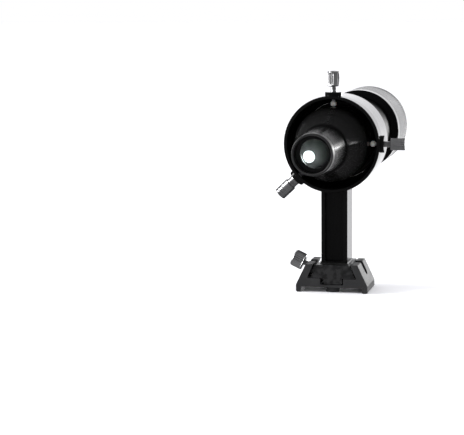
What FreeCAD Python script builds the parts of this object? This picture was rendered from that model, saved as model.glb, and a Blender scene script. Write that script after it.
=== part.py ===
import FreeCAD, Part
import math
import os

# A straight-through 8x50 finder telescope with its alignment bracket and dovetail shoe.
# Millimetres, +Z up, +Y along the optical axis towards the sky, +X to the right when looking through it.
# The origin is the centre of the shoe's mounting face, on the level of its two legs.
# Along the optical axis, places are given as s: the distance forward of the barrel's rear rim.

# Shoe, which is screwed to the telescope
SHOE_LENGTH = 31.0
SHOE_BASE_HALF = 25.0
SHOE_TOP_HALF = 18.1
SHOE_HEIGHT = 19.6
LEG_HEIGHT = 5.1
LEG_THICKNESS = 3.6
ARCH_HEIGHT = 3.6
POCKET_FLOOR_Z = 9.8
POCKET_FLOOR_HALF = 17.35
POCKET_TOP_HALF = 13.0
CHANNEL_HALF = 8.0
CHANNEL_FLOOR_Z = 5.4
SLOT_WIDTH = 6.9
SLOT_CENTRE_Y = 1.2
SLOT_BOTTOM_Z = 10.9
MOUNT_SPACING = 18.0
MOUNT_HOLE_R = 2.1
MOUNT_HEAD_R = 3.6
MOUNT_PAD_R = 4.6
CAST_EDGE_R = 0.5

# Bracket: foot, stem and barrel in one casting
FOOT_SHIFT = 0.8
FOOT_LENGTH = 31.0
FOOT_BOTTOM_Z = 10.1
FOOT_TOP_Z = 19.3
FOOT_BOTTOM_HALF = 15.5
KEEL_HALF = 6.45
KEEL_BOTTOM_Z = 5.9
STEM_WIDTH = 18.3
STEM_REAR_Y = -9.5
STEM_DEPTH = 21.0
STEM_FLANGE = 2.8
STEM_RECESS = 3.2
STEM_FLARE = 0.9
AXIS_Z = 103.0
BARREL_REAR_Y = -20.0
BARREL_LENGTH = 42.0
BARREL_R = 33.0
BARREL_BORE_R = 30.7
BARREL_LIP_R = 27.1
BOSS_R = 5.9
BOSS_TOP = 35.2
PLUNGER_BOSS_TOP = 36.2

# Alignment screws and spring plunger, all in one plane behind the O-ring
SCREW_S = 9.0
TOP_ANGLE = 90
SIDE_ANGLE = 0
PLUNGER_ANGLE = 223.5
SCREW_R = 2.0
SCREW_CLEARANCE = 0.08
SCREW_DOG_R = 1.25
KNOB_R = 4.1
KNOB_BOTTOM = 39.1
KNOB_TOP = 49.3
TIP_R = 2.0
TIP_LENGTH = 3.3
TIP_SOCKET_DEPTH = 1.9
NECK_LENGTH = 1.4
CLAMP_Y = 8.2
CLAMP_DOWN_SLOPE = 5.0
CLAMP_KNOB_R = 6.0
CLAMP_KNOB_BOTTOM = 3.5
CLAMP_KNOB_TOP = 12.5
CLAMP_TIP_END = -6.8
CLAMP_TIP_LENGTH = 2.8
CLAMP_SOCKET_DEPTH = 1.4
PLUNGER_NECK_R = 3.7
PLUNGER_BODY_R = 4.5
PLUNGER_NECK_TOP = 40.9
PLUNGER_TOP = 52.0
PLUNGER_GAP = 0.6
PLUG_DEPTH = 1.5
PIN_R = 2.5
COLLAR_LIFT = 2.0
COLLAR_THICKNESS = 1.5
SPRING_WIRE_R = 0.35
SPRING_COIL_R = 2.6
SPRING_TURNS = 4.0

# Telescope tube
TUBE_R = 24.0
TUBE_BORE_R = 22.3
TUBE_REAR_S = 8.0
TUBE_FRONT_S = 136.0
PIVOT_S = 38.0
RING_CORD_R = 1.85
RING_GROOVE_R = 23.3
TAIL_R = 25.2
TAIL_EDGE_S = -2.6
TAIL_STEP_S = -12.4
TAIL_STEP_R = 21.8
TAIL_END_S = -26.2
TAIL_END_R = 16.7
EYEPIECE_FLANGE_R = 16.4
EYEPIECE_FLANGE_S = -28.1
EYEPIECE_ROOT_R = 15.3
EYEPIECE_END_S = -67.2
EYEPIECE_END_R = 13.7
EYEPIECE_BORE_R = 12.0
EYECUP_S = -61.8
SPIGOT_R = 12.6
SPIGOT_S = -17.0
EYEPIECE_SEAT_S = -31.0
RETICLE_S = -21.0
FIELD_LENS_REAR_S = -35.0
FIELD_LENS_FRONT_S = -31.8
EYE_LENS_REAR_S = -57.0
EYE_LENS_FRONT_S = -51.0
EYEPIECE_RETAINER_S = -60.0
CELL_R = 29.7
LOCK_RING_S = 112.0
LOCK_RING_LENGTH = 8.4
CELL_REAR_S = 121.2
CELL_FRONT_S = 160.0
THREAD_CLEARANCE = 0.08
LENS_R = 25.0
LENS_BORE_R = 25.08
LENS_SEAT_S = 140.0
FLINT_REAR_S = 140.2
FLINT_FRONT_S = 144.0
CROWN_REAR_S = 144.3
CROWN_FRONT_S = 147.6
LENS_RETAINER_S = 147.7
LENS_RETAINER_FRONT_S = 150.6
MOUTH_S = 153.0
MOUTH_R = 27.6
FIT = 0.05

ORIGIN = FreeCAD.Vector(0, 0, 0)
X = FreeCAD.Vector(1, 0, 0)
Y = FreeCAD.Vector(0, 1, 0)
Z = FreeCAD.Vector(0, 0, 1)
FLANK = (POCKET_FLOOR_HALF - POCKET_TOP_HALF) / (SHOE_HEIGHT - POCKET_FLOOR_Z)
SLOPE = math.atan((SHOE_BASE_HALF - SHOE_TOP_HALF) / (SHOE_HEIGHT - LEG_HEIGHT))
TIP_END = TAIL_R + 0.1
EYEPIECE_TAPER = (EYEPIECE_ROOT_R - EYEPIECE_END_R) / (EYEPIECE_FLANGE_S - EYEPIECE_END_S)
EYECUP_R = EYEPIECE_ROOT_R - EYEPIECE_TAPER * (EYEPIECE_FLANGE_S - EYECUP_S)


def outline(start, *steps):
    """Closed face in the XZ plane: a step is a corner, or the middle and end points of an arc."""
    edges = []
    here = FreeCAD.Vector(start[0], 0, start[1])
    first = here
    for step in steps + (start,):
        if isinstance(step[0], tuple):
            middle = FreeCAD.Vector(step[0][0], 0, step[0][1])
            there = FreeCAD.Vector(step[1][0], 0, step[1][1])
            edges.append(Part.Arc(here, middle, there).toShape())
        else:
            there = FreeCAD.Vector(step[0], 0, step[1])
            if here.distanceToPoint(there) > 1e-6:
                edges.append(Part.makeLine(here, there))
        here = there
    assert here.distanceToPoint(first) < 1e-6
    return Part.Face(Part.Wire(edges))


def spun(start, *steps):
    """Solid of revolution about the local Z axis, from (radius, height) points."""
    return outline(start, *steps).revolve(ORIGIN, Z, 360)


def on_optical_axis(shape):
    """Lay a turned part down so that its local height becomes s along the optical axis."""
    shape.rotate(ORIGIN, X, -90)
    shape.translate(FreeCAD.Vector(FOOT_SHIFT, BARREL_REAR_Y, AXIS_Z))
    return shape


def turned(start, *steps):
    """Part turned about the optical axis, from (radius, s) points."""
    return on_optical_axis(spun(start, *steps))


def tube(outer, inner, low, high):
    """Plain ring about the optical axis."""
    return turned((inner, low), (outer, low), (outer, high), (inner, high))


def in_screw_plane(shape, angle):
    """Stand a part on a radius of the barrel: its local height becomes distance from the optical axis."""
    shape.rotate(ORIGIN, Y, 90 - angle)
    shape.translate(FreeCAD.Vector(FOOT_SHIFT, BARREL_REAR_Y + SCREW_S, AXIS_Z))
    return shape


def on_clamp_axis(shape):
    """Put a part on the clamp screw's axis, square to the shoe's left outer face; height 0 is that face."""
    shape.rotate(ORIGIN, Y, math.degrees(SLOPE) - 90)
    across = SHOE_TOP_HALF + CLAMP_DOWN_SLOPE * math.sin(SLOPE)
    height = SHOE_HEIGHT - CLAMP_DOWN_SLOPE * math.cos(SLOPE)
    shape.translate(FreeCAD.Vector(-across, CLAMP_Y, height))
    return shape


def along_y(face, rear, length):
    """Prism along Y from an XZ face."""
    face.translate(FreeCAD.Vector(0, rear, 0))
    return face.extrude(FreeCAD.Vector(0, length, 0))


def soften(shape, radius, direction):
    """Round every edge that runs along the given axis."""
    edges = []
    for edge in shape.Edges:
        if edge.Curve.TypeId == "Part::GeomLine":
            if edge.Curve.Direction.cross(direction).Length < 1e-6:
                edges.append(edge)
    return shape.makeFillet(radius, edges)


def save(name, shape):
    """Write one node."""
    assert shape.isValid(), name
    shape.exportStep("parts/" + name + ".step")
    print(name, len(shape.Solids), round(shape.Volume, 1))


def mirrored(points):
    """Half an outline, followed by its reflection in X."""
    return points + [(-across, height) for across, height in reversed(points)]


def dovetail_shoe():
    """Cast dovetail shoe: sloping walls with a U slot each, a central channel, two legs and screw pads."""
    foot_in = SHOE_BASE_HALF - LEG_THICKNESS
    outside = mirrored([
        (SHOE_TOP_HALF, SHOE_HEIGHT),
        (SHOE_BASE_HALF, LEG_HEIGHT),
        (SHOE_BASE_HALF, 0.8),
        (SHOE_BASE_HALF - 0.8, 0),
        (foot_in, 0),
        (foot_in, ARCH_HEIGHT)])
    pocket = mirrored([
        (POCKET_TOP_HALF, SHOE_HEIGHT),
        (POCKET_FLOOR_HALF, POCKET_FLOOR_Z),
        (CHANNEL_HALF, POCKET_FLOOR_Z),
        (CHANNEL_HALF, CHANNEL_FLOOR_Z)])
    corners = outside + list(reversed(pocket))
    body = along_y(outline(*corners), -SHOE_LENGTH / 2, SHOE_LENGTH)
    body = soften(body, CAST_EDGE_R, Y)
    slot_r = SLOT_WIDTH / 2
    span = FreeCAD.Vector(2 * SHOE_BASE_HALF, 0, 0)
    round_end = Part.makeCylinder(slot_r, span.x, FreeCAD.Vector(-SHOE_BASE_HALF, SLOT_CENTRE_Y,
                                                                 SLOT_BOTTOM_Z + slot_r), X)
    open_end = Part.makeBox(span.x, SLOT_WIDTH, SHOE_HEIGHT,
                            FreeCAD.Vector(-SHOE_BASE_HALF, SLOT_CENTRE_Y - slot_r, SLOT_BOTTOM_Z + slot_r))
    body = body.cut(round_end).cut(open_end)
    sink = MOUNT_HEAD_R - MOUNT_HOLE_R
    for y in (-MOUNT_SPACING / 2, MOUNT_SPACING / 2):
        body = body.fuse(Part.makeCylinder(MOUNT_PAD_R, ARCH_HEIGHT + 0.5, FreeCAD.Vector(0, y, 0)))
        hole = Part.makeCylinder(MOUNT_HOLE_R, CHANNEL_FLOOR_Z, FreeCAD.Vector(0, y, 0))
        head = Part.makeCone(MOUNT_HOLE_R, MOUNT_HEAD_R, sink, FreeCAD.Vector(0, y, CHANNEL_FLOOR_Z - sink))
        body = body.cut(hole).cut(head)
    clamp_hole = spun((0, -8), (SCREW_R + SCREW_CLEARANCE, -8), (SCREW_R + SCREW_CLEARANCE, 1), (0, 1))
    return body.cut(on_clamp_axis(clamp_hole))


def clamp_tip():
    """Nylon pad on the clamp screw's nose, which presses on the foot's left flank."""
    low = CLAMP_TIP_END
    high = low + CLAMP_TIP_LENGTH
    floor = high - CLAMP_SOCKET_DEPTH
    socket = SCREW_DOG_R + FIT
    return on_clamp_axis(spun((0, low), (TIP_R - 0.3, low), (TIP_R, low + 0.3), (TIP_R, high),
                              (socket, high), (socket, floor), (0, floor)))


def knurled_screw(knob_r, knob_low, knob_high, shank_low, dog_low):
    """Thumbscrew about local Z: dog nose, plain shank and a chamfered cylindrical knob."""
    bevel = 0.12 * knob_r
    dish = 0.55 * knob_r
    return spun((0, dog_low), (SCREW_DOG_R, dog_low), (SCREW_DOG_R, shank_low),
                (SCREW_R - 0.3, shank_low), (SCREW_R, shank_low + 0.3), (SCREW_R, knob_low),
                (knob_r - bevel, knob_low), (knob_r, knob_low + bevel), (knob_r, knob_high - bevel),
                (knob_r - bevel, knob_high), (dish, knob_high), (dish - 0.3, knob_high - 0.3),
                (0, knob_high - 0.3))


def clamp_screw():
    """Large thumbscrew through the shoe's left wall."""
    pad_top = CLAMP_TIP_END + CLAMP_TIP_LENGTH
    shank_low = pad_top + 0.2
    dog_low = pad_top - CLAMP_SOCKET_DEPTH + 0.1
    return on_clamp_axis(knurled_screw(CLAMP_KNOB_R, CLAMP_KNOB_BOTTOM, CLAMP_KNOB_TOP, shank_low, dog_low))


def align_screw(angle):
    """Alignment thumbscrew on one radius of the barrel."""
    cap_top = TIP_END + TIP_LENGTH
    shank_low = cap_top + NECK_LENGTH
    dog_low = cap_top - TIP_SOCKET_DEPTH + 0.1
    return in_screw_plane(knurled_screw(KNOB_R, KNOB_BOTTOM, KNOB_TOP, shank_low, dog_low), angle)


def align_tip(angle):
    """Nylon cap with a domed end, pressed on the alignment screw's dog nose."""
    high = TIP_END + TIP_LENGTH
    socket = SCREW_DOG_R + FIT
    floor = high - TIP_SOCKET_DEPTH
    cap = spun((0, TIP_END), ((1.2, TIP_END + 0.2), (TIP_R, TIP_END + 0.9)), (TIP_R, high - 0.3),
               (TIP_R - 0.3, high), (socket, high), (socket, floor), (0, floor))
    return in_screw_plane(cap, angle)


def foot():
    """Dovetail foot with a central keel that runs in the shoe's channel."""
    top_half = FOOT_BOTTOM_HALF - FLANK * (FOOT_TOP_Z - FOOT_BOTTOM_Z)
    keel_edge = 0.8
    corners = mirrored([
        (top_half, FOOT_TOP_Z),
        (FOOT_BOTTOM_HALF, FOOT_BOTTOM_Z),
        (KEEL_HALF, FOOT_BOTTOM_Z),
        (KEEL_HALF, KEEL_BOTTOM_Z + keel_edge),
        (KEEL_HALF - keel_edge, KEEL_BOTTOM_Z)])
    body = along_y(outline(*corners), -FOOT_LENGTH / 2, FOOT_LENGTH)
    return soften(body, 0.35, Y)


def plate(half_width, rear, depth, z):
    """Horizontal rectangle centred on X = 0, for the flare between stem and foot."""
    front = rear + depth
    corners = [(-half_width, rear), (half_width, rear), (half_width, front), (-half_width, front)]
    points = [FreeCAD.Vector(x, y, z) for x, y in corners]
    return Part.makePolygon(points + points[:1])


def stem():
    """I-shaped stem: two flanges with a recessed web in front and behind, and a small flare on the foot."""
    half = STEM_WIDTH / 2
    low = FOOT_TOP_Z - 1.0
    high = AXIS_Z - BARREL_BORE_R - 1.0
    body = Part.makeBox(STEM_WIDTH, STEM_DEPTH, high - low, FreeCAD.Vector(-half, STEM_REAR_Y, low))
    body = soften(body, 0.8, Z)
    web_half = half - STEM_FLANGE
    recess_low = FOOT_TOP_Z + 1.6
    recess_high = AXIS_Z - BARREL_R + 2.5
    for y in (STEM_REAR_Y - 1.0, STEM_REAR_Y + STEM_DEPTH - STEM_RECESS):
        recess = Part.makeBox(2 * web_half, STEM_RECESS + 1.0, recess_high - recess_low,
                              FreeCAD.Vector(-web_half, y, recess_low))
        body = body.cut(soften(recess, 1.5, Y))
    bottom = plate(half + STEM_FLARE, STEM_REAR_Y - STEM_FLARE, STEM_DEPTH + 2 * STEM_FLARE, FOOT_TOP_Z - 0.2)
    top = plate(half, STEM_REAR_Y, STEM_DEPTH, FOOT_TOP_Z + STEM_FLARE)
    return body.fuse(Part.makeLoft([bottom, top], True))


def barrel():
    """Open barrel with a lip for the O-ring in front, a step behind the bosses and three screw bosses."""
    step_s = 11.0
    rim = 0.5
    front = BARREL_LENGTH
    shell = turned((BARREL_BORE_R, 0.3), (BARREL_BORE_R + 0.3, 0), (BARREL_R - rim, 0),
                   ((BARREL_R - 0.15, 0.15), (BARREL_R, rim)), (BARREL_R, step_s),
                   (BARREL_R - 0.5, step_s + 0.3), (BARREL_R - 0.5, step_s + 1.0),
                   (BARREL_R - 0.2, step_s + 1.3), (BARREL_R - 0.7, front - 1.0),
                   (BARREL_R - 1.7, front), (BARREL_LIP_R + 0.6, front), (BARREL_LIP_R, front - 0.6),
                   (BARREL_LIP_R, PIVOT_S - 3.4), (BARREL_BORE_R, PIVOT_S - 5.4))
    inside = turned((0, -1), (BARREL_BORE_R, -1), (BARREL_BORE_R, PIVOT_S - 5.4), (0, PIVOT_S - 5.4))
    root = BARREL_BORE_R - 4.0
    screw_hole_r = SCREW_R + SCREW_CLEARANCE
    holes = []
    for angle, top, hole_r in ((TOP_ANGLE, BOSS_TOP, screw_hole_r),
                               (SIDE_ANGLE, BOSS_TOP, screw_hole_r),
                               (PLUNGER_ANGLE, PLUNGER_BOSS_TOP, PLUNGER_NECK_R + FIT)):
        boss = spun((0, root), (BOSS_R, root), (BOSS_R, top - 0.4), (BOSS_R - 0.4, top), (0, top))
        shell = shell.fuse(in_screw_plane(boss, angle).cut(inside))
        holes.append(in_screw_plane(spun((0, root), (hole_r, root), (hole_r, top + 1), (0, top + 1)), angle))
    for hole in holes:
        shell = shell.cut(hole)
    return shell


def bracket():
    """The whole casting: the foot stands off-centre in the shoe, pushed to the right by the clamp screw."""
    lower = foot().fuse(stem())
    lower.translate(FreeCAD.Vector(FOOT_SHIFT, 0, 0))
    core = turned((0, -30), (BARREL_BORE_R + 0.8, -30), (BARREL_BORE_R + 0.8, 60), (0, 60))
    return lower.cut(core).fuse(barrel()).removeSplitter()


def plunger_housing():
    """Turned steel sleeve: threaded neck in the boss, then a wide chamber for the spring."""
    neck_bore = PIN_R + FIT
    chamber = PLUNGER_BODY_R - 0.9
    neck_low = BARREL_BORE_R + 0.4
    return in_screw_plane(spun(
        (neck_bore, neck_low), (PLUNGER_NECK_R, neck_low), (PLUNGER_NECK_R, PLUNGER_NECK_TOP),
        (PLUNGER_BODY_R - 0.4, PLUNGER_NECK_TOP), (PLUNGER_BODY_R, PLUNGER_NECK_TOP + 0.4),
        (PLUNGER_BODY_R, PLUNGER_TOP - 0.5), (PLUNGER_BODY_R - 0.5, PLUNGER_TOP), (chamber, PLUNGER_TOP),
        (chamber, PLUNGER_NECK_TOP + 1.1), (neck_bore, PLUNGER_NECK_TOP + 1.1)), PLUNGER_ANGLE)


def plunger_plug():
    """Slotted plug that closes the chamber and backs the spring."""
    plug_r = PLUNGER_BODY_R - 0.9
    low = PLUNGER_TOP - PLUG_DEPTH
    high = PLUNGER_TOP - 0.2
    plug = spun((0, low), (plug_r, low), (plug_r, high), (0, high))
    slot_width = 0.8
    slot_depth = 0.6
    corner = FreeCAD.Vector(-plug_r, -slot_width / 2, high - slot_depth)
    slot = Part.makeBox(2 * plug_r, slot_width, slot_depth, corner)
    return in_screw_plane(plug.cut(slot), PLUNGER_ANGLE)


def plunger_pin():
    """Round-nosed pin with a collar. Its nose stands just off the tail, so the tube can swing sideways."""
    nose = TAIL_R + PLUNGER_GAP
    collar = PLUNGER_NECK_TOP + COLLAR_LIFT
    flange_r = PIN_R + 0.9
    back = collar + COLLAR_THICKNESS
    guide_r = 1.3
    return in_screw_plane(spun(
        (0, nose), ((1.7, nose + 0.6), (PIN_R, nose + 2.2)), (PIN_R, collar), (flange_r, collar),
        (flange_r, back), (guide_r, back), (guide_r, back + 1.5), (0, back + 1.5)), PLUNGER_ANGLE)


def plunger_spring():
    """Compression spring between the pin's collar and the plug."""
    low = PLUNGER_NECK_TOP + COLLAR_LIFT + COLLAR_THICKNESS + SPRING_WIRE_R
    high = PLUNGER_TOP - PLUG_DEPTH - SPRING_WIRE_R
    pitch = (high - low) / SPRING_TURNS
    path = Part.makeLongHelix(pitch, high - low, SPRING_COIL_R)
    section = Part.Wire(Part.makeCircle(SPRING_WIRE_R, FreeCAD.Vector(SPRING_COIL_R, 0, 0), Y))
    coil = path.makePipeShell([section], True, True)
    coil.translate(FreeCAD.Vector(0, 0, low))
    return in_screw_plane(coil, PLUNGER_ANGLE)


def o_ring():
    """Rubber ring between tube and barrel lip, about which the tube tilts."""
    middle_r = BARREL_LIP_R - FIT - RING_CORD_R
    ring = Part.makeTorus(middle_r, RING_CORD_R)
    ring.translate(FreeCAD.Vector(0, 0, PIVOT_S))
    return on_optical_axis(ring)


def main_tube():
    """Thin aluminium tube with the O-ring's groove and, in front, the thread of lock ring and cell."""
    groove = RING_CORD_R + 0.9
    return turned((TUBE_BORE_R, TUBE_REAR_S), (TUBE_R, TUBE_REAR_S), (TUBE_R, PIVOT_S - groove - 0.3),
                  (RING_GROOVE_R, PIVOT_S - groove), (RING_GROOVE_R, PIVOT_S + groove),
                  (TUBE_R, PIVOT_S + groove + 0.3), (TUBE_R, TUBE_FRONT_S - 0.6),
                  (TUBE_R - 0.6, TUBE_FRONT_S), (TUBE_BORE_R, TUBE_FRONT_S))


def rear_cell():
    """Turned tail: a sleeve over the tube, then a cone with one step down to the eyepiece."""
    sleeve_s = 20.0
    light_r = 20.6
    spigot_r = SPIGOT_R + FIT
    step_r = TAIL_STEP_R - 0.5
    return turned((TUBE_R, sleeve_s), (TAIL_R - 0.6, sleeve_s), (TAIL_R, sleeve_s - 0.6),
                  (TAIL_R, TAIL_EDGE_S + 0.2), (TAIL_R - 0.2, TAIL_EDGE_S), (TAIL_STEP_R, TAIL_STEP_S),
                  (step_r, TAIL_STEP_S - 0.1), (step_r, TAIL_STEP_S - 0.8), (TAIL_END_R, TAIL_END_S + 0.4),
                  (TAIL_END_R - 0.4, TAIL_END_S), (spigot_r, TAIL_END_S), (spigot_r, SPIGOT_S + 1.0),
                  (light_r, TAIL_EDGE_S), (light_r, TUBE_REAR_S), (TUBE_R, TUBE_REAR_S))


def eyepiece_barrel():
    """Eyepiece body: threaded spigot, thin flange and a slightly tapered grip."""
    light_r = 10.8
    return turned((light_r, SPIGOT_S), (SPIGOT_R - 0.4, SPIGOT_S), (SPIGOT_R, SPIGOT_S - 0.4),
                  (SPIGOT_R, TAIL_END_S), (EYEPIECE_FLANGE_R - 0.3, TAIL_END_S),
                  (EYEPIECE_FLANGE_R, TAIL_END_S - 0.3), (EYEPIECE_FLANGE_R, EYEPIECE_FLANGE_S + 0.3),
                  (EYEPIECE_FLANGE_R - 0.3, EYEPIECE_FLANGE_S), (EYEPIECE_ROOT_R, EYEPIECE_FLANGE_S),
                  (EYECUP_R, EYECUP_S), (EYEPIECE_BORE_R, EYECUP_S), (EYEPIECE_BORE_R, EYEPIECE_SEAT_S),
                  (light_r, EYEPIECE_SEAT_S))


def eyecup():
    """Rounded rim on the end of the eyepiece."""
    rim = (EYEPIECE_END_R - EYEPIECE_BORE_R - 0.2) / 2
    inner = EYEPIECE_BORE_R + 0.2
    round_s = EYEPIECE_END_S + rim
    return turned((inner, EYECUP_S), (EYECUP_R, EYECUP_S), (EYEPIECE_END_R, round_s),
                  ((inner + rim, EYEPIECE_END_S), (inner, round_s)))


def lens(radius, clear_r, rear_s, front_s, rear_bulge, front_bulge):
    """Round lens with a flat rim; inside its clear radius each face bulges outwards by the given height."""
    body = turned((0, rear_s), (radius, rear_s), (radius, front_s), (0, front_s))
    for s, bulge, side in ((rear_s, rear_bulge, -1), (front_s, front_bulge, 1)):
        ball_r = (clear_r ** 2 + bulge ** 2) / (2 * abs(bulge))
        centre = s + side * (bulge - math.copysign(ball_r, bulge))
        ball = on_optical_axis(Part.makeSphere(ball_r, FreeCAD.Vector(0, 0, centre), Z))
        if bulge > 0:
            tip = s + side * 2 * bulge
            cap = turned((0, min(s, tip)), (clear_r, min(s, tip)), (clear_r, max(s, tip)), (0, max(s, tip)))
            body = body.fuse(cap.common(ball))
        else:
            body = body.cut(ball)
    return body.removeSplitter()


def crosshair_wires():
    """Two crossed wires on the rear face of the reticle ring."""
    wire_r = 0.06
    reach = 9.8
    s = RETICLE_S - wire_r
    wires = []
    for direction in (X, Z):
        start = FreeCAD.Vector(FOOT_SHIFT, BARREL_REAR_Y + s, AXIS_Z) - direction * reach
        wires.append(Part.makeCylinder(wire_r, 2 * reach, start, direction))
    return wires[0].fuse(wires[1])


def lock_ring():
    """Smooth ring on the tube's thread, tightened against the cell."""
    low = LOCK_RING_S
    high = low + LOCK_RING_LENGTH
    bore = TUBE_R + THREAD_CLEARANCE
    edge = 0.5
    return turned((bore, low), (CELL_R - edge, low), ((CELL_R - 0.15, low + 0.15), (CELL_R, low + edge)),
                  (CELL_R, high - 0.3), (CELL_R - 0.3, high), (bore, high))


def objective_cell():
    """Objective cell that screws on the tube: knurled grip, lens seat and a short dew shield."""
    bore = TUBE_R + THREAD_CLEARANCE
    low = CELL_REAR_S
    high = CELL_FRONT_S
    light_r = bore - 0.8
    relief_s = TUBE_FRONT_S + 2.0
    return turned((bore, low), (CELL_R - 0.5, low), (CELL_R, low + 0.5), (CELL_R, high - 0.6),
                  (CELL_R - 0.6, high), (MOUTH_R + 0.3, high), (MOUTH_R, high - 0.3), (MOUTH_R, MOUTH_S),
                  (LENS_BORE_R, MOUTH_S), (LENS_BORE_R, LENS_SEAT_S), (light_r, LENS_SEAT_S),
                  (light_r, relief_s), (bore, relief_s))


def eyepiece_retainer():
    """Threaded ring that holds the eye lens, sloped towards it."""
    clear_r = 9.7
    low = EYEPIECE_RETAINER_S
    high = EYE_LENS_REAR_S
    outer_r = EYEPIECE_BORE_R - FIT
    return turned((clear_r, high - 0.9), (clear_r + 0.9, high), (outer_r, high), (outer_r, low),
                  (clear_r + 0.2, low), (clear_r, low + 0.2))


def lens_retainer():
    """Threaded ring that holds the two objective lenses, bevelled towards the light."""
    clear_r = 23.6
    low = LENS_RETAINER_S
    high = LENS_RETAINER_FRONT_S
    outer_r = LENS_BORE_R - FIT
    bevel = 0.6
    return turned((clear_r, low), (outer_r, low), (outer_r, high), (clear_r + bevel, high),
                  (clear_r, high - bevel))


os.makedirs("parts", exist_ok=True)

save("dovetail_shoe", dovetail_shoe())
save("clamp_tip", clamp_tip())
save("clamp_screw", clamp_screw())
save("bracket", bracket())
save("top_screw", align_screw(TOP_ANGLE))
save("top_screw_tip", align_tip(TOP_ANGLE))
save("side_screw", align_screw(SIDE_ANGLE))
save("side_screw_tip", align_tip(SIDE_ANGLE))
save("plunger_housing", plunger_housing())
save("plunger_plug", plunger_plug())
save("plunger_pin", plunger_pin())
save("plunger_spring", plunger_spring())
save("o_ring", o_ring())
save("main_tube", main_tube())
save("rear_cell", rear_cell())
save("eyepiece_barrel", eyepiece_barrel())
save("eyecup", eyecup())
save("reticle_ring", tube(10.75, 8.8, RETICLE_S, RETICLE_S + 3.0))
save("crosshair_wires", crosshair_wires())
eye_lens_r = EYEPIECE_BORE_R - FIT
save("field_lens", lens(eye_lens_r, 10.5, FIELD_LENS_REAR_S, FIELD_LENS_FRONT_S, 1.4, 0.6))
save("eyepiece_spacer", tube(eye_lens_r, 10.9, EYE_LENS_FRONT_S, FIELD_LENS_REAR_S))
save("eye_lens", lens(eye_lens_r, 9.6, EYE_LENS_REAR_S, EYE_LENS_FRONT_S, 1.1, 1.3))
save("eyepiece_retainer", eyepiece_retainer())
save("lock_ring", lock_ring())
save("objective_cell", objective_cell())
save("flint_lens", lens(LENS_R, 23.0, FLINT_REAR_S, FLINT_FRONT_S, 0.6, -1.9))
save("lens_spacer", tube(LENS_R, 24.2, FLINT_FRONT_S, CROWN_REAR_S))
save("crown_lens", lens(LENS_R, 23.4, CROWN_REAR_S, CROWN_FRONT_S, 1.7, 2.1))
save("lens_retainer", lens_retainer())
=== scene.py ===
import bpy
import bmesh
import math
import numpy as np
from mathutils import Matrix, Vector


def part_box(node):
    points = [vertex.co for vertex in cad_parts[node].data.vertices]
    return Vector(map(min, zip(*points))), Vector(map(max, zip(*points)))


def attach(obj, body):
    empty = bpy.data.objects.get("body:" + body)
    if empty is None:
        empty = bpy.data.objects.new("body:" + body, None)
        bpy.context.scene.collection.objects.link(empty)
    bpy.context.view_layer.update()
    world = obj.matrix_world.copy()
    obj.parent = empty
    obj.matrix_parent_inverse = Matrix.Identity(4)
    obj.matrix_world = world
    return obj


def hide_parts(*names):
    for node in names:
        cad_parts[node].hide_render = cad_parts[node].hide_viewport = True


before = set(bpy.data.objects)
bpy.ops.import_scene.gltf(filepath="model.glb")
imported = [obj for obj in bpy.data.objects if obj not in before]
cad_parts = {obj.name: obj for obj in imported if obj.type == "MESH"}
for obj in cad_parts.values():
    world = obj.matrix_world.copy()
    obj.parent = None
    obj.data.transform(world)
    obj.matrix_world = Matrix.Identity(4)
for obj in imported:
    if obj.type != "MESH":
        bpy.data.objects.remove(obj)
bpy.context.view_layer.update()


# ------------------------------------------------------------------------------------------------------
# Dovetail shoe. A die casting with satin black paint over a slightly grainy skin, screwed to the
# telescope's tube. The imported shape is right, so it stays, and only its finish is made here.

class Socket:
    """One output in a shader tree. Arithmetic on it adds Math nodes, so a formula reads as it is
    written."""

    def __init__(self, tree, link):
        self.tree = tree
        self.link = link

    def node(self, kind, settings=None, sockets=None, out=0):
        """Add a node: its settings first, then a value or a link for each socket, and give back one
        output."""
        new = self.tree.nodes.new(kind)
        for key, value in (settings or {}).items():
            setattr(new, key, value)
        for key, value in (sockets or {}).items():
            if isinstance(value, Socket):
                self.tree.links.new(value.link, new.inputs[key])
            else:
                new.inputs[key].default_value = value
        return Socket(self.tree, new.outputs[out])

    def math(self, operation, *values):
        return self.node("ShaderNodeMath", {"operation": operation}, dict(enumerate(values)))

    def __add__(self, other):
        return self.math("ADD", self, other)

    def __radd__(self, other):
        return self.math("ADD", other, self)

    def __sub__(self, other):
        return self.math("SUBTRACT", self, other)

    def __rsub__(self, other):
        return self.math("SUBTRACT", other, self)

    def __mul__(self, other):
        return self.math("MULTIPLY", self, other)

    def __rmul__(self, other):
        return self.math("MULTIPLY", other, self)

    def step(self, low, high):
        """0 below low, 1 above high, and smooth between them."""
        return self.node("ShaderNodeMapRange", {"interpolation_type": "SMOOTHSTEP"},
                         {"Value": self, "From Min": low, "From Max": high}, "Result")

    def noise(self, scale, detail=3.0, rough=0.55):
        """Grain at a place: scale is in cycles per metre."""
        return self.node("ShaderNodeTexNoise", {}, {"Vector": self, "Scale": scale, "Detail": detail,
                                                    "Roughness": rough}, "Fac")

    def blend(self, low, high):
        """Colour that goes from low to high as this value goes from 0 to 1."""
        return self.node("ShaderNodeMix", {"data_type": "RGBA"}, {"Factor": self, 6: low, 7: high}, 2)

    def bump(self, depth, under=None):
        """Surface relief from this height: depth is the real height in metres of a step from 0 to 1."""
        sockets = {"Height": self, "Distance": depth}
        if under is not None:
            sockets["Normal"] = under
        return self.node("ShaderNodeBump", {}, sockets)


def finish(name, **uniform):
    """New material with one Principled shader; the uniform values go on its own sockets."""
    material = bpy.data.materials.new(name)
    material.use_nodes = True
    shader = material.node_tree.nodes["Principled BSDF"]
    for key, value in uniform.items():
        shader.inputs[key.replace("_", " ")].default_value = value
    tree = material.node_tree
    place = Socket(tree, tree.nodes.new("ShaderNodeTexCoord").outputs["Object"])
    return material, shader, place


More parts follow.
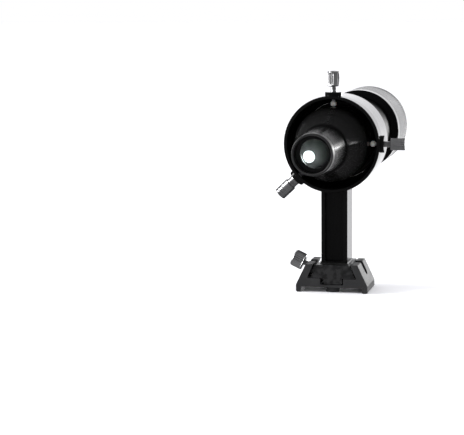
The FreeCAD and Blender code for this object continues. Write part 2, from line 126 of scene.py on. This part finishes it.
def wire_up(shader, **varying):
    """Link what changes over the surface to the shader's sockets."""
    for key, value in varying.items():
        value.tree.links.new(value.link, shader.inputs[key.replace("_", " ")])


def axes_of(place):
    """X, Y and Z of a place, in metres."""
    return [place.node("ShaderNodeSeparateXYZ", {}, {"Vector": place}, k) for k in range(3)]


def grey(value):
    return (value, value, value * 1.02, 1.0)


def satin_cast_paint():
    """Satin black over a fine-grained casting, a little paler and rougher where the grain stands up."""
    material, shader, place = finish("shoe_satin_paint", IOR=1.2)
    grain = place.noise(1900.0, 4.0, 0.6)
    cloud = place.noise(120.0, 2.0)
    speck = place.noise(5200.0, 2.0).step(0.62, 0.72)
    wire_up(shader,
            Base_Color=(0.6 * cloud + 0.4 * grain).blend(grey(0.014), grey(0.034)),
            Roughness=0.4 + 0.16 * cloud + 0.12 * speck,
            Normal=grain.bump(0.00007, speck.bump(0.00002)))
    return material


def paint(node, material):
    """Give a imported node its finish."""
    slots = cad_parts[node].data.materials
    slots.clear()
    slots.append(material)


paint("dovetail_shoe", satin_cast_paint())


# ------------------------------------------------------------------------------------------------------
# Bracket. One casting: foot, I-shaped stem and open barrel. The barrel and stem are machined, filled
# and sprayed gloss black; the foot keeps its mottled cast skin under a thin satin coat.

def bracket_paint():
    """Gloss above the foot, mottled satin on it; the inside of the barrel is as dark and glossy as the
    outside."""
    material, shader, place = finish("bracket_paint", IOR=1.27)
    foot_top = 0.0195
    up = axes_of(place)[2]
    on_foot = 1.0 - up.step(foot_top - 0.0006, foot_top + 0.0008)
    peel = place.noise(650.0, 2.0)
    grain = place.noise(1500.0, 4.0, 0.65)
    mottle = place.noise(420.0, 3.0).step(0.42, 0.62)
    haze = place.noise(35.0, 2.0)
    gloss = (0.5 * haze + 0.5 * peel).blend(grey(0.0015), grey(0.004))
    skin = (0.6 * mottle + 0.4 * grain).blend(grey(0.005), grey(0.022))
    wire_up(shader,
            Base_Color=on_foot.blend(gloss, skin),
            Roughness=(1.0 - on_foot) * (0.13 + 0.07 * haze) + on_foot * (0.34 + 0.2 * mottle),
            Normal=((1.0 - on_foot) * 0.12 * peel + on_foot * grain).bump(0.00009))
    return material


paint("bracket", bracket_paint())


# ------------------------------------------------------------------------------------------------------
# Clamp screw and its pad. Nickel-plated steel turned in one piece: ribbed knob, threaded shank and a
# short nose that carries a nylon pad. It goes through the shoe's left wall, square to the wall.

MM = 0.001


def rounded(corners, radius, runs=None, steps=5):
    """Profile through (radius, height) corners. Each corner becomes a parabola whose control point is
    the corner, with one more point on each side of it, so that straight runs shade straight. A profile
    that starts on the axis is open and keeps its two ends. runs gives, by corner number, the pitch and
    depth of the tool marks or the plain rows on the run that follows it."""
    corners = np.array(corners, float)
    towards = np.roll(corners, -1, 0) - corners
    length = np.linalg.norm(towards, axis=1)
    towards = towards / length[:, None]
    reach = np.minimum(radius, 0.3 * np.minimum(length, np.roll(length, 1)))[:, None, None]
    t = np.linspace(0, 1, steps)[None, :, None]
    arriving = np.roll(towards, 1, 0)[:, None]
    leaving = towards[:, None]
    bend = ((1 - t) ** 2 * -arriving + t ** 2 * leaving) * reach
    groups = corners[:, None] + np.concatenate([-1.4 * reach * arriving, bend, 1.4 * reach * leaving], 1)
    groups = list(groups)
    if corners[0, 0] == 0:
        groups[0] = corners[:1]
        groups[-1] = corners[-1:]
    parts = []
    for number, group in enumerate(groups):
        parts.append(group)
        if runs and number in runs:
            parts.append(tool_marks(group[-1], groups[(number + 1) % len(groups)][0], *runs[number]))
    return np.concatenate(parts)


def tool_marks(start, end, pitch, depth):
    """Points along a straight cut: a cosine groove every pitch, whose depth swells and fades along the
    cut."""
    length = np.linalg.norm(end - start)
    count = max(3, int((6 if depth else 1) * length / pitch))
    t = np.linspace(0, 1, count + 2)[1:-1, None]
    inward = np.array([end[1] - start[1], start[0] - end[0]]) / length
    if inward[0] > 0:
        inward = -inward
    swell = 0.55 + 0.3 * np.sin(17 * t) + 0.15 * np.sin(41 * t + 1)
    groove = 0.5 - 0.5 * np.cos(2 * math.pi * t * length / pitch)
    return start + t * (end - start) + inward * depth * groove * swell


def shell(name, points, material, body, slot, *nodes):
    """Closed quad skin over a (profile, angle) grid of points, welded, turned outwards and shaded
    smooth. A profile whose first row is a single point starts and ends on the axis, and any other
    profile closes on itself."""
    rows, columns = points.shape[:2]
    index = np.arange(rows * columns).reshape(rows, columns)
    below = np.roll(index, -1, 0)
    if np.ptp(points[0], axis=0).max() < 1e-9:
        index = index[:-1]
        below = below[:-1]
    quads = np.stack([index, below, np.roll(below, -1, 1), np.roll(index, -1, 1)], -1).reshape(-1, 4)
    corner = points.reshape(-1, 3)[quads]
    normal = np.cross(corner[:, 2] - corner[:, 0], corner[:, 3] - corner[:, 1])
    if ((corner.mean(1) - points.reshape(-1, 3).mean(0)) * normal).sum() < 0:
        quads = quads[:, ::-1]
    mesh = bpy.data.meshes.new(name)
    mesh.from_pydata(points.reshape(-1, 3).tolist(), [], quads.tolist())
    weld = bmesh.new()
    weld.from_mesh(mesh)
    bmesh.ops.remove_doubles(weld, verts=weld.verts, dist=1e-7)
    weld.to_mesh(mesh)
    weld.free()
    mesh.polygons.foreach_set("use_smooth", np.ones(len(mesh.polygons), bool))
    mesh.materials.append(material)
    piece = bpy.data.objects.new(name, mesh)
    bpy.context.scene.collection.objects.link(piece)
    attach(piece, body)
    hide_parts(*nodes)
    return piece


def about_line(profile, columns, origin, direction, ribs=None):
    """Carry a (radius, height) profile round a line: a point is the origin, plus its height along the
    line, plus its radius turned by each angle. ribs gives the radius lost at every height and angle."""
    angles = np.linspace(0, 2 * math.pi, columns, endpoint=False)[None]
    direction = np.array(direction, float)
    side = np.cross(direction, (0.0, 1.0, 0.0))
    if np.linalg.norm(side) < 0.1:
        side = np.cross(direction, (0.0, 0.0, -1.0))
    side = side / np.linalg.norm(side)
    radius = np.repeat(profile[:, :1], columns, 1)
    if ribs is not None:
        radius = radius - ribs(profile[:, :1], profile[:, 1:], angles)
    wheel = np.cos(angles)[..., None] * side + np.sin(angles)[..., None] * np.cross(direction, side)
    return np.array(origin) + profile[:, None, 1:] * direction + radius[..., None] * wheel


def grooves(count, depth, low, high, outer, run_out):
    """Straight knurling between two heights of the outermost skin: the radius lost goes in a straight
    line from nothing on a rib's crest to the depth in the V between two ribs, and fades over the
    run-out at each end."""
    def loss(radius, height, angle):
        crest = np.abs(2 * ((count * angle / (2 * math.pi)) % 1) - 1)
        ends = np.clip((height - low) / run_out, 0, 1) * np.clip((high - height) / run_out, 0, 1)
        return depth * (1 - crest) * ends * (radius > outer - depth / 2)
    return loss


def knob_ribs(knob_r, knob_low, knob_high, count, depth):
    """Knurling that stops short of a knob's two bevels. Sizes are in millimetres."""
    margin = 0.8
    run_out = 0.6
    return grooves(count, depth * MM, (knob_low + margin) * MM, (knob_high - margin) * MM, knob_r * MM,
                   run_out * MM)


def plated_steel(name, origin, direction, worn):
    """Nickel plate on turned steel: fine rings square to the screw's axis, and cloudy tarnish."""
    material, shader, place = finish(name, Metallic=1.0)
    from_origin = place.node("ShaderNodeVectorMath", {"operation": "SUBTRACT"},
                             {0: place, 1: tuple(origin)})
    height = from_origin.node("ShaderNodeVectorMath", {"operation": "DOT_PRODUCT"},
                              {0: from_origin, 1: tuple(direction)}, "Value")
    rings = height.node("ShaderNodeTexNoise", {"noise_dimensions": "1D"}, {"W": height, "Scale": 9000.0})
    cloud = place.noise(260.0)
    wire_up(shader,
            Base_Color=cloud.step(0.35, 0.75).blend((0.72, 0.72, 0.73, 1), (0.55, 0.55, 0.56, 1)),
            Roughness=worn + 0.14 * cloud + 0.06 * rings,
            Normal=rings.bump(0.000006))
    return material


def thumbscrew(knob_r, knob_low, knob_high, shank_low, nose_low):
    """Corners of a thumbscrew from its nose up: plain nose, threaded shank, bevelled knob with a dished
    end. The rows on the shank are its thread's pitch, and the rows on the knob hold the knurling's
    run-out."""
    nose_r = 1.25
    shank_r = 2.0
    bevel = 0.12 * knob_r
    dish = 0.3
    dish_r = 0.55 * knob_r
    corners = [(0, nose_low), (nose_r, nose_low), (nose_r, shank_low), (shank_r, shank_low + 0.3),
               (shank_r, knob_low), (knob_r - bevel, knob_low), (knob_r, knob_low + bevel),
               (knob_r, knob_high - bevel), (knob_r - bevel, knob_high), (dish_r + dish, knob_high),
               (dish_r, knob_high - dish), (0, knob_high - dish)]
    thread_pitch = 0.7
    thread_depth = 0.25
    return MM * rounded(corners, 0.12, {3: (thread_pitch, thread_depth), 6: (0.3, 0)})


WALL_FOOT = (25.0, 5.1)
WALL_TOP = (18.1, 19.6)
WALL_SLOPE = math.atan((WALL_FOOT[0] - WALL_TOP[0]) / (WALL_TOP[1] - WALL_FOOT[1]))
clamp_drop = 5.0
clamp_y = 8.2
clamp_knob = (6.0, 3.5, 12.5)
clamp_shank_low = -3.8
clamp_nose_low = -5.3
clamp_out = np.array([-math.cos(WALL_SLOPE), 0.0, math.sin(WALL_SLOPE)])
clamp_face = MM * np.array([-(WALL_TOP[0] + clamp_drop * math.sin(WALL_SLOPE)), clamp_y,
                            WALL_TOP[1] - clamp_drop * math.cos(WALL_SLOPE)])
clamp_profile = thumbscrew(*clamp_knob, clamp_shank_low, clamp_nose_low)
clamp_skin = about_line(clamp_profile, 288, clamp_face, clamp_out, knob_ribs(*clamp_knob, 24, 0.6))
clamp_plate = plated_steel("clamp_plate", clamp_face, clamp_out, 0.28)
shell("clamp_thumbscrew", clamp_skin, clamp_plate, "clamp_knob", "screw_steel", "clamp_screw")


def natural_nylon():
    """Turned nylon: milky, faintly yellow and waxy, with small scuffs."""
    material, shader, place = finish("natural_nylon", IOR=1.53, Subsurface_Weight=0.15,
                                     Subsurface_Scale=0.001)
    cloud = place.noise(900.0)
    scuff = place.noise(4200.0, 2.0).step(0.55, 0.7)
    wire_up(shader,
            Base_Color=cloud.blend((0.58, 0.57, 0.53, 1), (0.47, 0.46, 0.42, 1)),
            Roughness=0.34 + 0.2 * cloud + 0.1 * scuff,
            Normal=scuff.bump(0.00002))
    return material


nylon = natural_nylon()
paint("clamp_tip", nylon)


# ------------------------------------------------------------------------------------------------------
# Alignment screws. Two thumbscrews on the barrel's top and right radius, turned from plated steel with
# straight knurling, each with a domed nylon cap pressed on its nose so that it doesn't mark the
# telescope's tail.

align_knob = (4.1, 39.1, 49.3)
align_shank_low = 30.0
align_nose_low = 26.8
ring_low, ring_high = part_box("lock_ring")
axis_x = (ring_low[0] + ring_high[0]) / 2
axis_z = (ring_low[2] + ring_high[2]) / 2
screw_plane_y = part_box("top_screw")[0][1] + align_knob[0] * MM
screw_origin = np.array([axis_x, screw_plane_y, axis_z])
align_profile = thumbscrew(*align_knob, align_shank_low, align_nose_low)
align_ribs = knob_ribs(*align_knob, 18, 0.5)
for name, outwards, worn in (("top", (0, 0, 1), 0.24), ("side", (1, 0, 0), 0.34)):
    skin = about_line(align_profile, 216, screw_origin, outwards, align_ribs)
    plate = plated_steel(name + "_plate", screw_origin, outwards, worn)
    shell(name + "_thumbscrew", skin, plate, name + "_knob", "screw_steel", name + "_screw")
    paint(name + "_screw_tip", nylon)


# ------------------------------------------------------------------------------------------------------
# Spring plunger. A chromed sleeve with a fine thread on its neck and outer half, screwed into the lower
# left boss. Its round-nosed ground pin is pushed out by a coil spring, which a slotted plug holds in.

PLUNGER_ANGLE = math.radians(223.5)
plunger_out = np.array([math.cos(PLUNGER_ANGLE), 0.0, math.sin(PLUNGER_ANGLE)])


def ground_steel(name, low, high, rough):
    """Bare or chromed steel: grey with a fine scratch grain and faint clouds of oil."""
    material, shader, place = finish(name, Metallic=1.0)
    oil = place.noise(420.0)
    scratch = place.noise(7000.0, 2.0, 0.4)
    wire_up(shader,
            Base_Color=oil.blend(grey(low), grey(high)),
            Roughness=rough + 0.1 * oil + 0.05 * scratch,
            Normal=scratch.bump(0.000004))
    return material


sleeve_corners = [(2.55, 31.1), (3.7, 31.1), (3.7, 40.9), (4.1, 40.9), (4.5, 41.3), (4.5, 45.6),
                  (4.5, 45.9), (4.5, 51.5), (4.0, 52.0), (3.6, 52.0), (3.6, 42.0), (2.55, 42.0)]
ridge_pitch = 0.75
sleeve = MM * rounded(sleeve_corners, 0.1, {1: (ridge_pitch, 0.3), 6: (ridge_pitch, 0.28)})
chrome = ground_steel("plunger_chrome", 0.6, 0.5, 0.2)
shell("plunger_sleeve", about_line(sleeve, 128, screw_origin, plunger_out), chrome, "bracket_casting",
      "screw_steel", "plunger_housing")
pin_steel = ground_steel("ground_steel", 0.6, 0.48, 0.22)
paint("plunger_pin", pin_steel)
paint("plunger_plug", pin_steel)
paint("plunger_spring", ground_steel("spring_wire", 0.45, 0.3, 0.3))


# ------------------------------------------------------------------------------------------------------
# Seal. A moulded nitrile O-ring that sits in a groove in the barrel's front lip. The tube passes
# through it and tilts about its centre.

def black_rubber(name, shade, rough):
    """Moulded rubber: dull, with a fine skin and a little bloom."""
    material, shader, place = finish(name, IOR=1.5)
    bloom = place.noise(240.0)
    skin = place.noise(3600.0, 4.0, 0.6)
    wire_up(shader,
            Base_Color=bloom.blend(grey(shade), grey(1.9 * shade)),
            Roughness=rough + 0.15 * bloom + 0.08 * skin,
            Normal=skin.bump(0.000025))
    return material


paint("o_ring", black_rubber("nitrile", 0.012, 0.42))


# ------------------------------------------------------------------------------------------------------
# Telescope tube. Thin aluminium, lacquered satin black outside and blackened matt inside, with a groove
# for the seal and a fine thread at the front.

tube_start = 8.0
rear_rim_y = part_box("main_tube")[0][1] - tube_start * MM
axis_origin = np.array([axis_x, rear_rim_y, axis_z])


def turned_black(name, light_r, rough, marks=0.00004, cone=None, index=1.27):
    """Lacquer over a turned part: tool marks that run round the axis, as deep as given, orange peel and
    fine dust; inside the given radius it is matt. cone gives the radius, the height and the slope of
    the limit where the wall narrows."""
    material, shader, place = finish(name, IOR=index)
    across, along, up = axes_of(place)
    from_x = across - axis_x
    from_z = up - axis_z
    radius = (from_x * from_x + from_z * from_z).math("SQRT")
    blur = 0.0002
    limit = radius - light_r
    if cone:
        limit = limit.math("MAXIMUM", limit, radius - cone[0] - (along - cone[1]) * cone[2])
    inside = 1.0 - limit.step(-blur, blur)
    rings = along.node("ShaderNodeTexNoise", {"noise_dimensions": "1D"},
                       {"W": 0.8 * radius + along, "Scale": 2600.0})
    waves = place.noise(520.0, 2.0)
    dust = place.noise(6500.0, 2.0).step(0.66, 0.74)
    tone = (0.6 * rings + 0.4 * waves).blend(grey(0.0018), grey(0.00396))
    wire_up(shader,
            Base_Color=(0.05 * dust).blend(tone, grey(0.3)),
            Roughness=rough + 0.07 * rings + 0.05 * dust + 0.6 * inside,
            Normal=rings.bump(marks, waves.bump(0.000008)))
    return material


def turned_piece(node, corners, corner_r, material, body, slot, runs=None, columns=256, ribs=None):
    """Part turned about the optical axis from (radius, s) corners, s being how far it is ahead of the
    barrel's rear rim."""
    profile = MM * rounded(corners, corner_r, runs)
    skin = about_line(profile, columns, axis_origin, (0, 1, 0), ribs)
    return shell(node + "_skin", skin, material, body, slot, node)


turned_piece("main_tube",
             [(22.3, tube_start), (24.0, tube_start), (24.0, 35.0), (23.3, 35.25), (23.3, 40.75),
              (24.0, 41.05), (24.0, 111.0), (24.0, 111.4), (24.0, 135.6), (23.4, 136.0), (22.3, 136.0)],
             0.15, turned_black("tube_lacquer", 0.0232, 0.5), "telescope", "gloss_black", {7: (0.75, 0.12)})


# ------------------------------------------------------------------------------------------------------
# Tail. Turned from bar: a sleeve over the tube, then a cone with one step. The tool marks are fine
# rings that show through the gloss lacquer.

tail_end = -26.0
inner_cone = (0.0147, rear_rim_y + tail_end * MM, 0.35)
tail_black = turned_black("tail_lacquer", 0.0229, 0.13, 0.00014, inner_cone, 1.38)
turned_piece("rear_cell",
             [(24.0, 20.0), (25.2, 20.0), (25.2, -2.6), (21.8, -12.4), (21.3, -12.5), (21.3, -13.2),
              (16.7, -25.8), (16.3, -26.2), (12.65, -26.2), (12.65, -16.0), (20.6, -2.6),
              (20.6, tube_start), (24.0, tube_start)],
             0.45, tail_black, "telescope", "gloss_black", {2: (0.55, 0.012), 5: (0.6, 0.012)}, 320)


# ------------------------------------------------------------------------------------------------------
# Eyepiece. A turned barrel with a thin flange, screwed into the tail, and a soft eyecup with a rounded
# rim. The retainer ring behind the eye lens is blackened.

turned_piece("eyepiece_barrel",
             [(10.8, -17.0), (12.6, -17.0), (12.6, -26.2), (16.4, -26.2), (16.4, -28.1), (15.3, -28.1),
              (13.921, -61.8), (12.0, -61.8), (12.0, -31.0), (10.8, -31.0)],
             0.3, turned_black("eyepiece_lacquer", 0.0127, 0.2, 0.00002), "telescope", "gloss_black",
             {5: (0.8, 0.01)})
turned_piece("eyecup",
             [(12.2, -61.8), (13.921, -61.8), (13.7, -67.2), (12.2, -67.2)],
             0.72, black_rubber("eyecup_rubber", 0.010, 0.25), "telescope", "rubber")


def matt_black(name, shade):
    """Dyed anodising inside the optics: dull and dense, with a fine grain and faint clouds."""
    material, shader, place = finish(name, Specular_IOR_Level=0.0)
    grain = place.noise(5200.0, 3.0)
    cloud = place.noise(300.0)
    wire_up(shader,
            Base_Color=cloud.blend(grey(shade), grey(2 * shade)),
            Roughness=0.5 + 0.2 * cloud + 0.1 * grain,
            Normal=grain.bump(0.000012))
    return material


inner_black = matt_black("inner_black", 0.006)
for node in ("eyepiece_retainer", "eyepiece_spacer", "reticle_ring", "lens_retainer", "lens_spacer"):
    paint(node, inner_black)
paint("crosshair_wires", ground_steel("blackened_wire", 0.05, 0.03, 0.4))


# ------------------------------------------------------------------------------------------------------
# Lenses. Ground and polished crown and flint glass with antireflection coatings: each is a disc with
# two spherical faces and a plain edge. The eyepiece has two, and the objective is a cemented-looking
# air-spaced pair.

def coated_glass(name, tint, reflection):
    """Clear glass whose coating tints what it reflects, with the faintest smear left by cleaning."""
    material, shader, place = finish(name, IOR=1.52, Transmission_Weight=1.0, Specular_Tint=reflection)
    smear = place.noise(160.0, 2.0).step(0.5, 0.8)
    wire_up(shader,
            Base_Color=smear.blend(tint, tuple(0.985 * part for part in tint[:3]) + (1.0,)),
            Roughness=0.004 * smear)
    return material


def lens_corners(radius, clear_r, rear_s, front_s, rear_bulge, front_bulge, steps=40):
    """Open profile of a lens from the middle of its rear face to the middle of its front face: on each
    face the height falls from the bulge to the rim as a circle does, and the edge between them is
    plain."""
    u = np.linspace(0, 1, steps)

    def face(s, bulge, side):
        ball = (clear_r ** 2 + bulge ** 2) / (2 * abs(bulge))
        lift = np.sqrt(ball ** 2 - (u * clear_r) ** 2) - (ball - abs(bulge))
        return np.stack([u * clear_r, s + side * math.copysign(1, bulge) * lift], 1)

    edge = np.array([(radius, rear_s), (radius, (rear_s + front_s) / 2), (radius, front_s)])
    return MM * np.concatenate([face(rear_s, rear_bulge, -1), edge, face(front_s, front_bulge, 1)[::-1]])


eye_coat = coated_glass("eye_glass", (0.97, 1.0, 0.98, 1), (0.02, 0.05, 0.025, 1))
crown_coat = coated_glass("crown_glass", (0.97, 0.99, 1.0, 1), (0.06, 0.02, 0.03, 1))
for node, sizes, glass, body, slot in (
        ("eye_lens", (11.95, 9.6, -57.0, -51.0, 1.1, 1.3), eye_coat, "telescope", "eye_glass"),
        ("field_lens", (11.95, 10.5, -35.0, -31.8, 1.4, 0.6), eye_coat, "telescope", "eye_glass"),
        ("flint_lens", (25.0, 23.0, 140.2, 144.0, 0.6, -1.9), crown_coat, "lenses", "crown_glass"),
        ("crown_lens", (25.0, 23.4, 144.3, 147.6, 1.7, 2.1), crown_coat, "lenses", "crown_glass")):
    skin = about_line(lens_corners(*sizes), 160, axis_origin, (0, 1, 0))
    shell(node + "_glass", skin, glass, body, slot, node)


# ------------------------------------------------------------------------------------------------------
# Lock ring. Turned from bar and lacquered gloss black. It runs on the tube's thread and is tightened
# against the objective cell, which keeps the focus.

cell_r = (ring_high[0] - ring_low[0]) / 2 / MM
turned_piece("lock_ring", [(24.08, 112.0), (cell_r, 112.0), (cell_r, 120.4), (24.08, 120.4)],
             0.45, turned_black("ring_lacquer", 0.0243, 0.12, 0.00002), "focus_lock", "gloss_black")


# ------------------------------------------------------------------------------------------------------
# Objective cell. Turned from bar with straight knurling from its rear end almost to its mouth. The
# crown and flint sit on a seat inside and are held by a threaded ring.

cell_corners = [(24.08, 121.2), (cell_r, 121.2), (cell_r, 160.0), (27.6, 160.0), (27.6, 153.0),
                (25.08, 153.0), (25.08, 140.0), (23.28, 140.0), (23.28, 138.0), (24.08, 138.0)]
cell_ribs = grooves(120, 0.6 * MM, 120.4 * MM, 157.5 * MM, cell_r * MM, 0.7 * MM)
cell_black = turned_black("cell_lacquer", 0.0277, 0.22, 0.00002)
turned_piece("objective_cell", cell_corners, 0.4, cell_black, "objective", "gloss_black", {1: (0.9, 0)},
             960, cell_ribs)


# ------------------------------------------------------------------------------------------------------
# Studio. A pale floor that gloss doesn't mirror, a bright wall of light straight ahead of the telescope
# and a dim room all round it. A softbox on the left, a low strip and a small lamp on the right draw the
# highlights.

def pale_floor():
    """Matt white floor with the faint mottling of painted board."""
    material, shader, place = finish("pale_floor", IOR=1.3)
    cloud = place.noise(9.0)
    wire_up(shader, Base_Color=cloud.blend(grey(0.95), grey(0.93)), Roughness=0.7 + 0.2 * cloud)
    return material


near_edge = -0.40
reach = 8.0
floor_mesh = bpy.data.meshes.new("floor")
floor_corners = [(-reach, near_edge, 0), (reach, near_edge, 0), (reach, reach, 0), (-reach, reach, 0)]
floor_mesh.from_pydata(floor_corners, [], [(0, 1, 2, 3)])
floor_mesh.materials.append(pale_floor())
floor = bpy.data.objects.new("floor", floor_mesh)
bpy.context.scene.collection.objects.link(floor)
floor.visible_glossy = False

world = bpy.data.worlds.new("studio")
bpy.context.scene.world = world
world.use_nodes = True
tree = world.node_tree
facing = Socket(tree, tree.nodes.new("ShaderNodeTexCoord").outputs["Generated"])
dim_room = grey(0.17)
bright_wall = grey(1.75)
soft_light = grey(1.2)
white = grey(1.0)
ahead = axes_of(facing)[1]
room = ahead.step(0.80, 0.94).blend(dim_room, bright_wall)
path = tree.nodes.new("ShaderNodeLightPath").outputs


def background(colour):
    """World shader of one colour, or of a colour that changes with direction."""
    shader = tree.nodes.new("ShaderNodeBackground")
    if isinstance(colour, Socket):
        tree.links.new(colour.link, shader.inputs["Color"])
    else:
        shader.inputs["Color"].default_value = colour
    return Socket(tree, shader.outputs[0])


soft = room.node("ShaderNodeMixShader", {}, {0: Socket(tree, path["Is Diffuse Ray"]), 1: background(room),
                                             2: background(soft_light)})
seen = soft.node("ShaderNodeMixShader", {}, {0: Socket(tree, path["Is Camera Ray"]), 1: soft,
                                             2: background(white)})
tree.links.new(seen.link, tree.nodes["World Output"].inputs["Surface"])


tube_height = 0.1


def softbox(name, direction, distance, width, height, power):
    """Area light that faces the telescope from a direction, and isn't seen itself."""
    lamp = bpy.data.lights.new(name, "AREA")
    lamp.shape = "RECTANGLE"
    lamp.size = width
    lamp.size_y = height
    lamp.energy = power
    box = bpy.data.objects.new(name, lamp)
    away = Vector(direction).normalized()
    box.location = Vector((0, 0, tube_height)) + away * distance
    box.rotation_euler = away.to_track_quat("Z", "Y").to_euler()
    box.visible_camera = False
    bpy.context.scene.collection.objects.link(box)


softbox("left_softbox", (-0.9, -0.25, 0.33), 1.2, 0.35, 0.6, 18.0)
softbox("right_strip", (0.55, 0.835, 0.0), 1.0, 0.4, 0.12, 4.0)
softbox("right_rim_light", (0.514, 0.848, 0.127), 1.0, 0.09, 0.09, 1.6)

AZIMUTH = math.radians(14.082)
ELEVATION = math.radians(8.2)
ROLL = math.radians(-0.571)
back = Vector((math.sin(AZIMUTH) * math.cos(ELEVATION), -math.cos(AZIMUTH) * math.cos(ELEVATION),
               math.sin(ELEVATION)))
level = (-back).cross(Vector((0, 0, 1))).normalized()
rise = level.cross(-back)
right = level * math.cos(ROLL) + rise * math.sin(ROLL)
top = rise * math.cos(ROLL) - level * math.sin(ROLL)
camera = bpy.data.objects.new("camera", bpy.data.cameras.new("camera"))
camera.data.lens = 124.64
camera.data.sensor_width = 36.0
camera.data.clip_end = 50.0
camera_place = Matrix.Translation((0.19896, -1.08835, 0.21011))
camera.matrix_world = camera_place @ Matrix((right, top, back)).transposed().to_4x4()
bpy.context.scene.collection.objects.link(camera)
bpy.context.scene.camera = camera
bpy.context.scene.view_settings.view_transform = "Standard"
